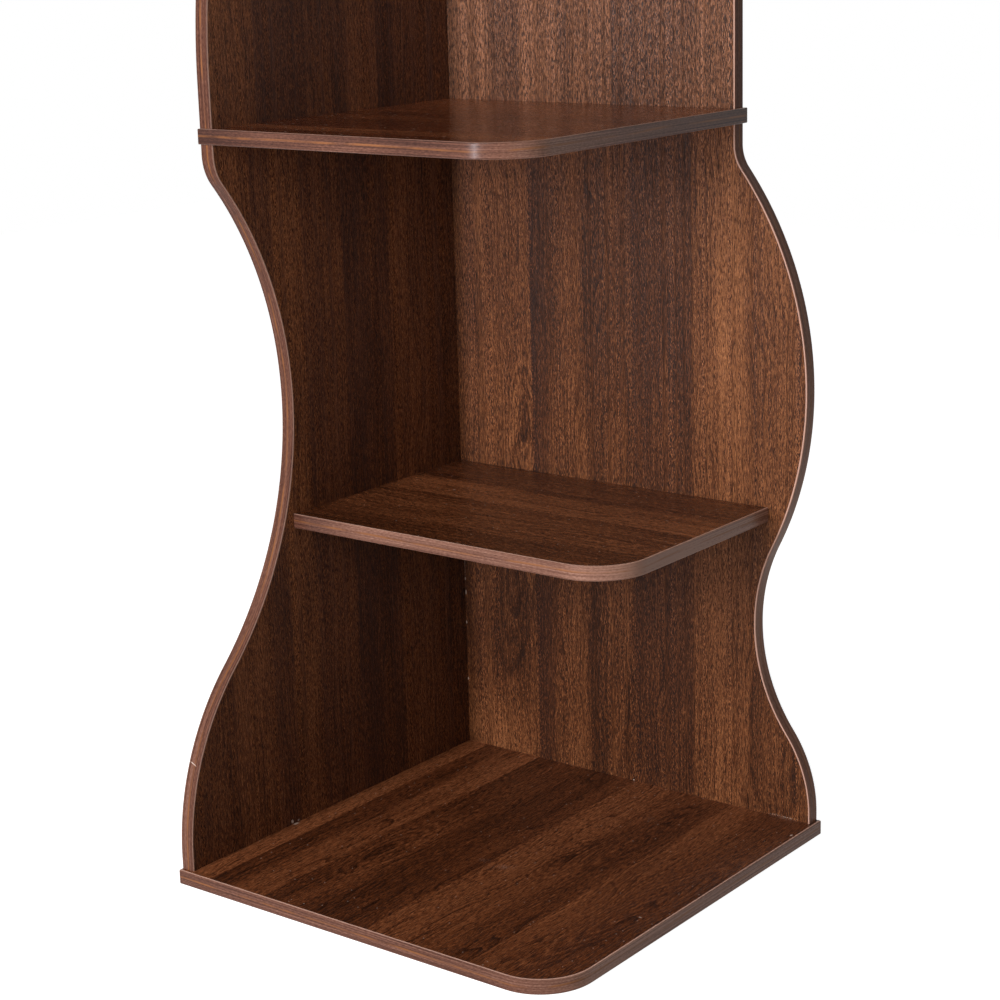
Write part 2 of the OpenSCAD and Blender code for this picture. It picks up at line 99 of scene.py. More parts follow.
def measured(tree, direction, start):
    # how far a point is along a direction; direction is 1000 long, so that the distance is in mm
    place = addNode(tree, "TexCoord").outputs["Object"]
    distance = addNode(tree, "VectorMath", {"operation": "DOT_PRODUCT"}, {0: place, 1: direction})
    return addNode(tree, "Math", {"operation": "ADD"}, {0: distance.outputs["Value"], 1: start})


# Walnut decor
# Melamine-faced particleboard: a printed walnut paper under clear melamine resin, pressed with a
# pore-embossed plate. To the eye: lamellas with mostly straight sharp joints, streaks and ring
# lines that wander within them, short sunk pores along the fibres, and a satin sheen.
walnut = {
    "tones": [(0.0, "1f0c04"), (0.2, "3e1e0d"), (0.4, "572d16"),
              (0.6, "6e3c21"), (0.8, "885232"), (1.0, "a96c46")],
    "toneRange": 0.8,        # a tone of 1 is this far up those colours
    "cool": "3b2120",        # greyer heartwood of some lamellas
    "paperWidth": 500.0,     # mm from the inner corner that the lamellas fill
    "sharpJoint": 2.0,       # mm, a narrower joint cuts the grain off
    "pieceStep": (0.37, 0.11),            # each glued piece has its grain from another share
    "pieceApart": 7000.0,    # of this many mm of it
    # each pattern: width and length in mm, detail, place in the noise, share of the tone
    "streak": (2.6, 170.0, 3.0, 11.3, 0.75),
    "cloud": (16.0, 150.0, 2.0, 23.9, 0.55),
    "fleck": (3.4, 9.0, 1.0, 83.0, 0.12),
    # real pores are 0.3 mm wide and 2 to 6 mm long, drawn wider so that they show
    "pore": (0.9, 5.0, 0.0, 37.0, 0.85),
    # the specks are bumps of the pressing plate; their light and dark in the colour are partly painted
    # glints on the embossing
    "speck": (0.8, 2.1, 0.0, 51.0, 2.0),
    # fibres wander by the last number in mm, and ring lines by it in lines
    "drift": (60.0, 240.0, 1.5, 3.1, 16.0),
    "ringWander": (38.0, 210.0, 1.0, 61.0, 7.0),
    # ring lines show in patches, between these two values of their noise
    "ringPatch": (30.0, 160.0, 1.0, 71.0, 0.48),
    "ringLimits": (0.38, 0.62),
    "ringSpacing": 5.5,      # mm from line to line
    "ringTooth": 4.0,        # higher draws finer lines
    "flameDrift": 0.35,      # flames wander by this share of the fibres' drift
    "stagger": (2.4, 40.0),  # neighbouring pores start at different heights: width, reach in mm
    "shortGrain": 20.0,      # mm, only patterns shorter than this are lengthened on low-angle boards
    "noiseRoughness": 0.55,
    "seedSlant": 1.7,        # a seed moves the noise across by its own size and along by this much
    "poreLimits": (0.46, 0.76),           # noise where a pore begins and where it is deepest
    "poreLift": 0.2,         # the pores darken the print, and this makes up for it
    "poreDepth": 0.00018,    # m, deeper in the measure that they are wider
    "roughness": (0.44, 0.62),            # between the pores and in them
    "gloss": 0.4,
    "ior": 1.5,
    "chipped": "cdb9ab",     # bared core and scuffed resin
    "dust": (17.0, 0.45, 0.2),            # one grain in some squares: mm, its radius, share of squares
    "tear": (0.9, 2.0),      # noise that tears the outline of a mark: times per mm, detail
    "tearEdge": (0.1, 0.25), # how far a mark fades outwards and inwards
    "markStrength": 0.8,
}


def marksMask(tree, flat, marks):
    # small chips, scuffs and seams at their own places: middle, half size in mm, lean in degrees;
    # a lower cover leaves only scattered grains of the mark
    scale, detail = walnut["tear"]
    outwards, inwards = walnut["tearEdge"]
    ragged = addNode(tree, "TexNoise", {"noise_dimensions": "2D"}, {
        "Vector": flat, "Scale": scale, "Detail": detail})
    whole = None
    for mark in marks:
        lean = math.radians(mark.get("lean", 0))
        centred = addNode(tree, "VectorMath", {"operation": "SUBTRACT"}, {0: flat, 1: (*mark["at"], 0)})
        turned = addNode(tree, "Mapping", {}, {"Vector": centred, "Rotation": (0, 0, lean)})
        scaled = addNode(tree, "VectorMath", {"operation": "DIVIDE"}, {0: turned, 1: (*mark["size"], 1)})
        radius = addNode(tree, "VectorMath", {"operation": "LENGTH"}, {0: scaled}).outputs["Value"]
        share = mark.get("ragged", 1.0)
        broken = addNode(tree, "Math", {"operation": "MULTIPLY_ADD"}, {0: ragged, 1: share, 2: radius})
        limit = mark.get("cover", 1.0) + share / 2
        mask = addNode(tree, "MapRange", {}, {
            "Value": broken, "From Min": limit + outwards, "From Max": limit - inwards,
            "To Max": mark.get("strength", walnut["markStrength"])})
        if whole is None:
            whole = mask
        else:
            whole = addNode(tree, "Math", {"operation": "MAXIMUM"}, {0: whole, 1: mask})
    return whole


def dustMask(tree, flat, seed, larger):
    cell, radius, share = walnut["dust"]
    moved = addNode(tree, "Mapping", {}, {
        "Vector": flat, "Scale": (1 / cell, 1 / cell, 1.0), "Location": (seed, seed, 0)})
    grains = addNode(tree, "TexVoronoi", {"voronoi_dimensions": "2D", "feature": "F1"}, {
        "Vector": moved, "Scale": 1.0})
    near = addNode(tree, "Math", {"operation": "LESS_THAN"}, {
        0: grains.outputs["Distance"], 1: radius * larger / cell})
    chance = addNode(tree, "SeparateColor", {}, {"Color": grains.outputs["Color"]}).outputs["Red"]
    picked = addNode(tree, "Math", {"operation": "LESS_THAN"}, {0: chance, 1: share})
    return addNode(tree, "Math", {"operation": "MULTIPLY"}, {0: near, 1: picked})


def chippedAt(tree, surface, mask):
    # the surface, with the pale core showing where the mask is
    bared = addNode(tree, "Mix", {"data_type": "RGBA"}, {
        0: mask, 6: surface, 7: linear(walnut["chipped"])})
    return bared.outputs[2]


def lamellaStops(rows):
    # ramp stops over the paper's width: tone in red and coolness in green, and for each glued
    # piece, between sharp joints, a grey of its own
    width = walnut["paperWidth"]
    step, first = walnut["pieceStep"]
    stops, pieces = [(0.0, (rows[0][1], rows[0][3], 0, 1))], []
    for i, (start, toneIn, toneOut, cool, soft) in enumerate(rows):
        end, nextSoft = (rows[i + 1][0], rows[i + 1][4]) if i + 1 < len(rows) else (width, 0.0)
        if i:
            stops.append(((start + soft / 2) / width, (toneIn, cool, 0, 1)))
        stops.append(((end - nextSoft / 2) / width, (toneOut, cool, 0, 1)))
        if not pieces or soft < walnut["sharpJoint"]:
            grey = (i * step + first) % 1.0
            pieces.append((start / width, (grey, grey, grey, 1)))
    return stops, pieces


def addFlame(tree, tone, placed, across, flame):
    # one set of nested ovals at its own place, cut off by the lamella's joints
    width, length = flame["size"]
    lean = math.radians(flame.get("lean", 0.0))
    centred = addNode(tree, "VectorMath", {"operation": "SUBTRACT"}, {0: placed, 1: (*flame["at"], 0)})
    leaned = addNode(tree, "Mapping", {}, {"Vector": centred, "Rotation": (0.0, 0.0, lean)})
    scaled = addNode(tree, "VectorMath", {"operation": "MULTIPLY"}, {
        0: leaned, 1: (1 / width, 1 / length, 0)})
    radius = addNode(tree, "VectorMath", {"operation": "LENGTH"}, {0: scaled}).outputs["Value"]
    inside = addNode(tree, "MapRange", {"interpolation_type": "SMOOTHSTEP"}, {
        "Value": radius, "From Min": 1.0 + flame["soft"], "From Max": 1.0 - flame["soft"]})
    turns = addNode(tree, "Math", {"operation": "MULTIPLY"}, {
        0: radius, 1: flame.get("rings", 0) * 2 * math.pi})
    rings = addNode(tree, "Math", {"operation": "SINE"}, {0: turns})
    shade = addNode(tree, "Math", {"operation": "MULTIPLY_ADD"}, {
        0: rings, 1: flame.get("lines", 0.0), 2: flame["tone"]})
    low = addNode(tree, "Math", {"operation": "GREATER_THAN"}, {0: across, 1: flame["joints"][0]})
    high = addNode(tree, "Math", {"operation": "LESS_THAN"}, {0: across, 1: flame["joints"][1]})
    window = addNode(tree, "Math", {"operation": "MULTIPLY"}, {0: low, 1: high})
    masked = addNode(tree, "Math", {"operation": "MULTIPLY"}, {0: window, 1: inside})
    return addNode(tree, "Math", {"operation": "MULTIPLY_ADD"}, {0: masked, 1: shade, 2: tone})


def walnutMelamine(name, decor):
    made, tree, shader = newMaterial(name, {
        "IOR": walnut["ior"], "Specular IOR Level": decor.get("gloss", walnut["gloss"])})
    seed = decor["seed"]

    def grain(source, kind):
        # noise drawn out along the fibres, wider or longer on boards that are seen at a low angle
        width, length, detail, shift = walnut[kind][:4]
        width = width * decor.get("coarse", 1.0)
        if length < walnut["shortGrain"]:
            length = length * decor.get("long", 1.0)
        stretched = addNode(tree, "Mapping", {}, {
            "Vector": source, "Scale": (1 / width, 1 / length, 1.0),
            "Location": (shift + seed, seed * walnut["seedSlant"] - shift, 0.0)})
        return addNode(tree, "TexNoise", {"noise_dimensions": "2D"}, {
            "Vector": stretched, "Scale": 1.0, "Detail": detail, "Roughness": walnut["noiseRoughness"]})

    def swing(source, share, base):
        # base + (source - 0.5) * share
        centred = addNode(tree, "Math", {"operation": "SUBTRACT"}, {0: source, 1: 0.5})
        return addNode(tree, "Math", {"operation": "MULTIPLY_ADD"}, {0: centred, 1: share, 2: base})

    def shareOf(kind, amount):
        return walnut[kind][4] * decor.get(amount, 1.0)

    across = measured(tree, *decor["across"])    # mm from the inner corner, across the grain
    along = measured(tree, *decor["along"])      # mm along the grain
    flat = addNode(tree, "CombineXYZ", {}, {"X": across, "Y": along, "Z": 0.0})

    # lamellas: the ramp's red is the tone and its green the coolness
    stops, pieces = lamellaStops(decor["lamellas"])
    part = addNode(tree, "Math", {"operation": "DIVIDE"}, {0: across, 1: walnut["paperWidth"]})
    lamella = addNode(tree, "ValToRGB", {"stops": stops}, {"Fac": part})
    channels = addNode(tree, "SeparateColor", {}, {"Color": lamella})
    tone, cool = channels.outputs["Red"], channels.outputs["Green"]
    # each glued piece has its own stretch of grain, so nothing runs over a sharp joint
    piece = addNode(tree, "ValToRGB", {"stops": pieces, "blend": "CONSTANT"}, {"Fac": part})
    ownAlong = addNode(tree, "Math", {"operation": "MULTIPLY_ADD"}, {
        0: piece, 1: walnut["pieceApart"], 2: along})

    # the fibres wander slowly, and the pores along them are staggered
    straight = addNode(tree, "CombineXYZ", {}, {"X": across, "Y": ownAlong})
    slow = grain(straight, "drift")
    reach = walnut["drift"][4]
    wander = swing(slow, reach, across)
    fibres = addNode(tree, "CombineXYZ", {}, {"X": wander, "Y": ownAlong})
    staggerWidth, staggerReach = walnut["stagger"]
    steps = addNode(tree, "TexNoise", {"noise_dimensions": "1D"}, {
        "W": across, "Scale": 1 / staggerWidth, "Detail": 0.0})
    staggered = addNode(tree, "CombineXYZ", {}, {
        "X": wander, "Y": swing(steps, staggerReach, ownAlong)})

    tone = swing(grain(fibres, "streak"), shareOf("streak", "streaks"), tone)
    tone = swing(grain(fibres, "cloud"), shareOf("cloud", "clouds"), tone)
    tone = swing(grain(staggered, "fleck"), shareOf("fleck", "specks"), tone)
    # painted light: the tone rises steadily towards one end of the board, so the base is lighter towards
    # its back and the left panels towards their tops
    slope = decor.get("slope", 0.0) / walnut["paperWidth"]
    tone = addNode(tree, "Math", {"operation": "MULTIPLY_ADD"}, {0: along, 1: slope, 2: tone})

    # ring lines: a saw-tooth across the fibres, bent by slow noise into long flames and ovals
    field = addNode(tree, "Math", {"operation": "DIVIDE"}, {0: wander, 1: walnut["ringSpacing"]})
    field = swing(grain(fibres, "ringWander"), walnut["ringWander"][4], field)
    saw = addNode(tree, "Math", {"operation": "FRACT"}, {0: field})
    tooth = addNode(tree, "Math", {"operation": "POWER"}, {0: saw, 1: walnut["ringTooth"]})
    none, full = walnut["ringLimits"]
    strength = addNode(tree, "MapRange", {}, {
        "Value": grain(fibres, "ringPatch"), "From Min": none, "From Max": full,
        "To Min": 0.0, "To Max": -shareOf("ringPatch", "rings")})
    tone = addNode(tree, "Math", {"operation": "MULTIPLY_ADD"}, {0: tooth, 1: strength, 2: tone})

    # flames at their own places
    placed = addNode(tree, "CombineXYZ", {}, {
        "X": swing(slow, reach * walnut["flameDrift"], across), "Y": along})
    for flame in decor.get("flames", []):
        tone = addFlame(tree, tone, placed, across, flame)

    # pores: short dashes sunk along the fibres, and the grit of the pressing plate between them
    shallow, deep = walnut["poreLimits"]
    dashes = addNode(tree, "MapRange", {}, {
        "Value": grain(staggered, "pore"), "From Min": shallow, "From Max": deep})
    tone = addNode(tree, "Math", {"operation": "MULTIPLY_ADD"}, {
        0: dashes, 1: -shareOf("pore", "pores"), 2: tone})
    tone = addNode(tree, "Math", {"operation": "ADD"}, {
        0: tone, 1: walnut["poreLift"] * decor.get("pores", 1.0)})
    # the specks also swing the colour lighter and darker, partly painted glints where the embossing would
    # catch the light
    speck = grain(staggered, "speck")
    tone = swing(speck, shareOf("speck", "specks"), tone)

    # colours: the print, its cast, dust and chips
    tone = addNode(tree, "Math", {"operation": "MULTIPLY"}, {0: tone, 1: walnut["toneRange"]})
    printed = addNode(tree, "ValToRGB", {"stops": colourStops(walnut["tones"])}, {"Fac": tone})
    surface = addNode(tree, "Mix", {"data_type": "RGBA"}, {
        0: cool, 6: printed, 7: linear(decor.get("tint", walnut["cool"]))}).outputs[2]
    if "cast" in decor:
        surface = addNode(tree, "Mix", {"data_type": "RGBA", "blend_type": "MULTIPLY"}, {
            0: 1.0, 6: surface, 7: (*decor["cast"], 1.0)}).outputs[2]
    if "dusty" in decor:
        strength, larger = decor["dusty"]
        dust = addNode(tree, "Math", {"operation": "MULTIPLY"}, {
            0: dustMask(tree, flat, seed, larger), 1: strength})
        surface = chippedAt(tree, surface, dust)
    if "marks" in decor:
        surface = chippedAt(tree, surface, marksMask(tree, flat, decor["marks"]))
    tree.links.new(surface, shader.inputs["Base Color"])

    smooth, rough = decor.get("roughness", walnut["roughness"])
    gloss = addNode(tree, "MapRange", {}, {"Value": dashes, "To Min": smooth, "To Max": rough})
    tree.links.new(gloss.outputs[0], shader.inputs["Roughness"])
    height = addNode(tree, "Math", {"operation": "SUBTRACT"}, {0: speck, 1: dashes})
    bump = addNode(tree, "Bump", {}, {
        "Height": height, "Distance": walnut["poreDepth"], "Strength": decor.get("bump", 1.0)})
    tree.links.new(bump.outputs["Normal"], shader.inputs["Normal"])
    return made


# Ways across or along the grain: direction, and the distance in mm at the origin
alongX = ((1000.0, 0.0, 0.0), innerCorner)
alongDepth = ((0.0, -1000.0, 0.0), innerCorner)
alongZ = ((0.0, 0.0, 1000.0), 0.0)

# Each lamella: start in mm, tone at its start and at its end, coolness, width of a soft joint
# before it. A flame: its middle and half size in mm (across, along), the joints that cut it off,
# its own tone, its rings and how deep they are, and how soft its outline is.
# Streaks, clouds, specks, pores and rings: 1 is as strong as in walnut. Coarse and long: 1 is as wide and
# as long. Cast multiplies the print's colour, and on the upper panels it is a painted sheen; slope is
# painted light, the tone gained over 500 mm along the grain; dusty is how pale the dust is and how large,
# and gloss, roughness and bump are the resin's.
rightLowerDecor = {
    "across": alongX, "along": alongZ, "seed": 2.0, "gloss": 0.2,
    "cast": (0.96, 1.03, 0.98), "streaks": 0.85, "clouds": 0.75, "specks": 0.95, "pores": 0.95,
    "lamellas": [(0, 0.5, 0.54, 0.05, 0), (30, 0.58, 0.58, 0.0, 16), (109, 0.24, 0.34, 0.1, 0),
                 (133, 0.38, 0.46, 0.0, 14), (165, 0.5, 0.44, 0.0, 8), (184.5, 0.3, 0.36, 0.0, 4),
                 (207, 0.4, 0.42, 0.0, 14), (248.6, 0.26, 0.34, 0.05, 0), (285, 0.36, 0.34, 0.05, 14),
                 (328, 0.62, 0.7, 0.0, 4), (361, 0.74, 0.7, 0.0, 14), (390, 0.6, 0.62, 0.0, 16),
                 (430, 0.66, 0.58, 0.0, 20)],
    "flames": [
        {"at": (100, 306), "size": (9, 80), "joints": (0, 109), "tone": 0.36,
         "rings": 4, "lines": 0.06, "soft": 0.1},
        {"at": (82, 268), "size": (32, 160), "joints": (0, 109), "tone": -0.18,
         "rings": 4, "lines": 0.1, "soft": 0.06, "lean": 7},
        {"at": (94, 432), "size": (7, 30), "joints": (0, 109), "tone": -0.3,
         "rings": 2, "lines": 0.1, "soft": 0.3},
        {"at": (94, 420), "size": (24, 96), "joints": (0, 109), "tone": 0.06,
         "rings": 5, "lines": 0.16, "soft": 0.2},
        {"at": (222, 150), "size": (17, 150), "joints": (207, 248.6), "tone": 0.2,
         "rings": 5, "lines": 0.08, "soft": 0.12, "lean": 4},
        {"at": (84, 85), "size": (27, 75), "joints": (50, 133), "tone": -0.12, "soft": 0.5},
        {"at": (226, 85), "size": (26, 75), "joints": (207, 262), "tone": -0.12, "soft": 0.5},
        # painted sheen: this patch and the next are wide over many lamellas and lighten the panel where a
        # sheen would lie
        {"at": (200, 665), "size": (240, 75), "joints": (0, 500), "tone": 0.05, "soft": 0.6},
        {"at": (170, 450), "size": (170, 55), "joints": (0, 345), "tone": 0.07, "soft": 0.6},
        # a wide soft patch over many lamellas, darker across the lower part of the panel
        {"at": (200, 135), "size": (230, 110), "joints": (30, 430), "tone": -0.06, "soft": 0.5},
        {"at": (120, 560), "size": (14, 150), "joints": (109, 133), "tone": -0.08, "soft": 0.5},
        {"at": (165, 470), "size": (30, 120), "joints": (133, 207), "tone": 0.12, "soft": 0.7},
        {"at": (160, 90), "size": (28, 130), "joints": (133, 184.5), "tone": 0.16, "soft": 0.6},
        {"at": (196, 90), "size": (16, 130), "joints": (184.5, 248.6), "tone": -0.06,
         "rings": 2, "lines": 0.05, "soft": 0.4},
        {"at": (378, 560), "size": (20, 190), "joints": (361, 430), "tone": 0.17, "soft": 0.5},
        {"at": (40, 20), "size": (64, 60), "joints": (0, 109), "tone": 0.26, "soft": 0.6},
        # painted shade: a wide soft patch over many lamellas that darkens the middle of the panel
        {"at": (180, 540), "size": (170, 110), "joints": (0, 345), "tone": -0.09, "soft": 0.5},
        {"at": (70, 160), "size": (70, 90), "joints": (0, 109), "tone": -0.07, "soft": 0.5},
        {"at": (446, 150), "size": (44, 150), "joints": (402, 500), "tone": -0.14,
         "rings": 4, "lines": 0.06, "soft": 0.1, "lean": 6},
    ],
    "marks": [
        {"at": (0.9, 332), "size": (1.0, 2.4)},
        {"at": (0.7, 223), "size": (0.9, 1.8)},
        {"at": (0.9, 206), "size": (1.1, 3.0)},
        {"at": (0.7, 168), "size": (0.8, 1.8)},
        {"at": (0.8, 96), "size": (0.9, 1.6)},
        {"at": (0.6, 280), "size": (0.6, 60), "strength": 0.25},
        {"at": (244, 16.9), "size": (1.3, 0.8), "strength": 0.6},
        {"at": (447, 17.4), "size": (22, 1.6), "ragged": 6.0, "cover": -0.2, "strength": 0.6},
    ]}

rightUpperDecor = {
    "across": alongX, "along": alongZ, "seed": 5.5,
    "lamellas": [(0, 0.86, 1.06, 0.05, 0), (56, 0.74, 0.58, 0.1, 14), (100, 1.0, 0.84, 0.05, 0),
                 (156, 0.64, 0.66, 0.05, 6), (172, 0.82, 0.8, 0.05, 6), (225.5, 0.4, 0.48, 0.1, 0),
                 (260, 0.54, 0.66, 0.1, 10), (330, 0.84, 0.74, 0.05, 12)],
    # painted sheen: the cast greys and cools the print as a sheen would, and the strong specks are partly
    # painted glints on the embossing
    "gloss": 0.48, "bump": 2.7, "specks": 1.55, "pores": 1.75, "cast": (0.98, 1.06, 1.16)}

leftLowerDecor = {
    # painted light: the slope makes this panel lighter towards its top
    "across": alongDepth, "along": alongZ, "seed": 9.0, "gloss": 0.15, "slope": 0.09,
    "cast": (0.98, 1.02, 1.0), "streaks": 1.1, "clouds": 0.85, "specks": 1.05,
    "lamellas": [(0, 0.3, 0.4, 0.0, 0), (60, 0.5, 0.58, 0.0, 14), (119, 0.34, 0.28, 0.1, 0),
                 (160, 0.26, 0.3, 0.15, 10), (197, 0.5, 0.46, 0.1, 3), (241, 0.42, 0.46, 0.15, 6),
                 (262, 0.6, 0.62, 0.0, 8), (307, 0.44, 0.46, 0.1, 5), (338, 0.58, 0.64, 0.0, 0),
                 (400, 0.46, 0.54, 0.0, 10)],
    "marks": [
        {"at": (322, 19.5), "size": (2.0, 2.2), "ragged": 1.6, "lean": 30},
        {"at": (312, 18.0), "size": (1.6, 1.2), "ragged": 1.6},
    ]}

leftUpperDecor = {
    # painted light: the slope makes this panel lighter towards its top
    "across": alongDepth, "along": alongZ, "seed": 14.0, "gloss": 0.24, "slope": 0.05,
    # painted sheen: the cast greys and cools the print as a sheen would
    "cast": (1.0, 1.05, 1.06), "specks": 1.05, "pores": 1.15,
    "lamellas": [(0, 0.34, 0.48, 0.0, 0), (97, 0.18, 0.24, 0.1, 3), (126, 0.54, 0.58, 0.0, 2),
                 (177, 0.36, 0.4, 0.05, 4), (235, 0.52, 0.52, 0.0, 3), (241, 0.26, 0.36, 0.15, 2),
                 (320, 0.62, 0.64, 0.0, 0)]}

baseDecor = {
    # painted light: the slope makes the base lighter towards its back
    "across": alongX, "along": alongDepth, "seed": 21.0, "gloss": 0.3, "slope": -0.16, "long": 1.8,
    "coarse": 0.75, "clouds": 0.28, "rings": 1.4, "specks": 0.6, "pores": 0.95,
    "roughness": (0.32, 0.5), "bump": 0.5, "dusty": (0.65, 1.35),
    "lamellas": [(0, 0.96, 0.9, 0.0, 0), (29, 0.42, 0.46, 0.0, 0), (60, 0.74, 0.82, 0.0, 14),
                 (107, 0.46, 0.52, 0.0, 0), (140, 0.64, 0.54, 0.0, 12), (171, 0.38, 0.42, 0.0, 0),
                 (225, 0.56, 0.48, 0.0, 10), (247.5, 0.84, 0.82, 0.0, 0), (300, 0.72, 0.66, 0.0, 14),
                 (345, 0.58, 0.54, 0.0, 12), (378, 0.76, 0.72, 0.0, 0), (425, 0.6, 0.54, 0.05, 14)],
    "flames": [
        {"at": (130, 324), "size": (7, 26), "joints": (107, 171), "tone": -0.24,
         "rings": 1, "lines": 0.1, "soft": 0.3},
        {"at": (134, 316), "size": (26, 100), "joints": (107, 171), "tone": 0.04,
         "rings": 5, "lines": 0.14, "soft": 0.15},
        {"at": (134, 62), "size": (30, 130), "joints": (107, 171), "tone": -0.12,
         "rings": 6, "lines": 0.1, "soft": 0.12, "lean": 4},
        {"at": (195, 340), "size": (22, 120), "joints": (171, 247.5), "tone": 0.0,
         "rings": 4, "lines": 0.1, "soft": 0.3, "lean": -4},
        {"at": (308, 232), "size": (9, 24), "joints": (247.5, 378), "tone": -0.2,
         "rings": 2, "lines": 0.16, "soft": 0.25},
        {"at": (312, 226), "size": (26, 70), "joints": (247.5, 378), "tone": -0.04,
         "rings": 5, "lines": 0.12, "soft": 0.3},
        {"at": (350, 130), "size": (30, 110), "joints": (300, 378), "tone": -0.14,
         "rings": 4, "lines": 0.1, "soft": 0.15},
        {"at": (448, 290), "size": (30, 190), "joints": (378, 500), "tone": -0.02,
         "rings": 6, "lines": 0.14, "soft": 0.2, "lean": -8},
    ],
    "marks": [
        {"at": (268, 283), "size": (17, 8), "ragged": 6.0, "cover": -0.45, "strength": 0.55, "lean": 30},
        {"at": (240, 280), "size": (9, 6), "ragged": 6.0, "cover": -0.5, "strength": 0.45},
        {"at": (1.6, 318), "size": (2.0, 4.0), "ragged": 1.4},
        {"at": (459, 304), "size": (1.8, 1.3), "strength": 0.6},
        {"at": (325, 84), "size": (9, 6), "ragged": 6.0, "cover": -0.55, "strength": 0.4},
        {"at": (478, 38), "size": (1.3, 2.4), "ragged": 1.2},
        {"at": (446, 1.4), "size": (24, 1.6), "ragged": 6.0, "cover": -0.2, "strength": 0.6},
    ]}

lowerShelfDecor = {
    "across": alongDepth, "along": alongX, "seed": 30.0, "gloss": 0.3, "rings": 2.0,
    "clouds": 0.6, "streaks": 1.9, "specks": 1.1, "pores": 1.4, "roughness": (0.2, 0.4), "bump": 0.3,
    "dusty": (0.7, 1.5),
    "lamellas": [(0, 0.46, 0.44, 0.1, 0), (82, 0.76, 0.85, 0.0, 8), (143, 0.38, 0.46, 0.0, 5),
                 (155, 0.56, 0.6, 0.0, 5), (180, 0.54, 0.56, 0.0, 10), (215, 0.56, 0.48, 0.0, 12),
                 (245, 0.3, 0.22, 0.0, 6)],
    "flames": [
        {"at": (205, 320), "size": (30, 130), "joints": (160, 290), "tone": 0.02,
         "rings": 4, "lines": 0.14, "soft": 0.3, "lean": -5},
    ],
    "marks": [
        {"at": (118, 84), "size": (1.2, 1.6), "strength": 0.7},
    ]}

middleDecor = {
    "across": alongDepth, "along": alongX, "seed": 37.0, "gloss": 0.28, "coarse": 1.9,
    "tint": "521f0c", "cast": (1.02, 0.96, 0.97), "clouds": 0.4, "streaks": 2.7, "specks": 1.2,
    "pores": 1.4, "rings": 2.4, "roughness": (0.16, 0.3), "bump": 0.1, "dusty": (0.9, 2.8),
    "lamellas": [(0, 0.95, 1.05, 0.25, 0), (60, 1.0, 0.9, 0.25, 20), (130, 0.64, 0.48, 0.25, 12),
                 (195, 0.56, 0.6, 0.25, 0), (240, 0.4, 0.34, 0.25, 6), (328, 1.0, 0.96, 0.15, 0),
                 (360, 0.3, 0.1, 0.3, 0)],
    "flames": [
        {"at": (30, 60), "size": (70, 90), "joints": (0, 130), "tone": 0.4, "soft": 0.6},
        {"at": (215, 130), "size": (24, 140), "joints": (195, 240), "tone": 0.12, "soft": 0.5},
    ]}

upperShelfDecor = dict(lowerShelfDecor, seed=44.0)
topDecor = {
    "across": alongDepth, "along": alongX, "seed": 51.0, "gloss": 0.3, "clouds": 0.5, "rings": 1.2,
    "roughness": (0.3, 0.5), "bump": 0.5, "dusty": (0.6, 1.2),
    "lamellas": [(0, 0.7, 0.76, 0.0, 0), (46, 0.5, 0.54, 0.05, 0), (98, 0.8, 0.74, 0.0, 12),
                 (150, 0.42, 0.48, 0.05, 0), (205, 0.62, 0.56, 0.0, 10), (262, 0.78, 0.84, 0.0, 0),
                 (318, 0.5, 0.46, 0.05, 12), (366, 0.68, 0.7, 0.0, 0)],
    "flames": [
        {"at": (175, 210), "size": (22, 110), "joints": (150, 205), "tone": 0.04,
         "rings": 5, "lines": 0.12, "soft": 0.2, "lean": 4},
        {"at": (290, 130), "size": (24, 120), "joints": (262, 318), "tone": -0.06,
         "rings": 5, "lines": 0.12, "soft": 0.2},
    ]}


# Edge band
# PVC edge band: extruded, printed with fine streaks, lacquered, glued on and trimmed to a small radius. To
# the eye: a paler, pinkish brown than the boards, dark dashes and lines along its length, a satin sheen,
# and a light arris where the trimming cut through the print, with a painted highlight along it.
bandLook = {
    "tones": [(0.0, "382019"), (0.35, "5e3d31"), (0.65, "7c5748"), (1.0, "a27b69")],
    # the core colour is also a painted highlight along the arrises
    "core": "d0a997",        # PVC under the print, bared at the arrises
    "warm": "8f5c35",        # a printed orange-brown streak
    # width and length in mm, place in the noise, share of the tone; the real lines are finer
    "streak": (1.4, 260.0, 3.0, 1.1),
    "dash": (1.1, 4.5, 17.0, 0.7),
    "detail": 2.0,
    "noiseRoughness": 0.6,
    "seedStep": 7.3,         # from one band to the next
    "dashDepth": 0.00004,    # m
    "warmWander": (0.006, -2.6, 3.6),     # times per mm, and mm from the middle, lowest and highest
    "warmHalf": (1.6, 0.3),  # mm from its own middle where it ends and where it is full
    "warmShare": 0.7,
    "warmFading": (0.02, 0.35, 0.6),      # times per mm, and noise where it is gone and where full
    "roughness": 0.28,
    "ior": 1.53,
    "halfWidth": 8.0,        # mm
    "arris": 0.1,            # mm of bared core on the front
    "arrisSoft": (0.3, 0.2), # mm that it fades inwards and outwards
}


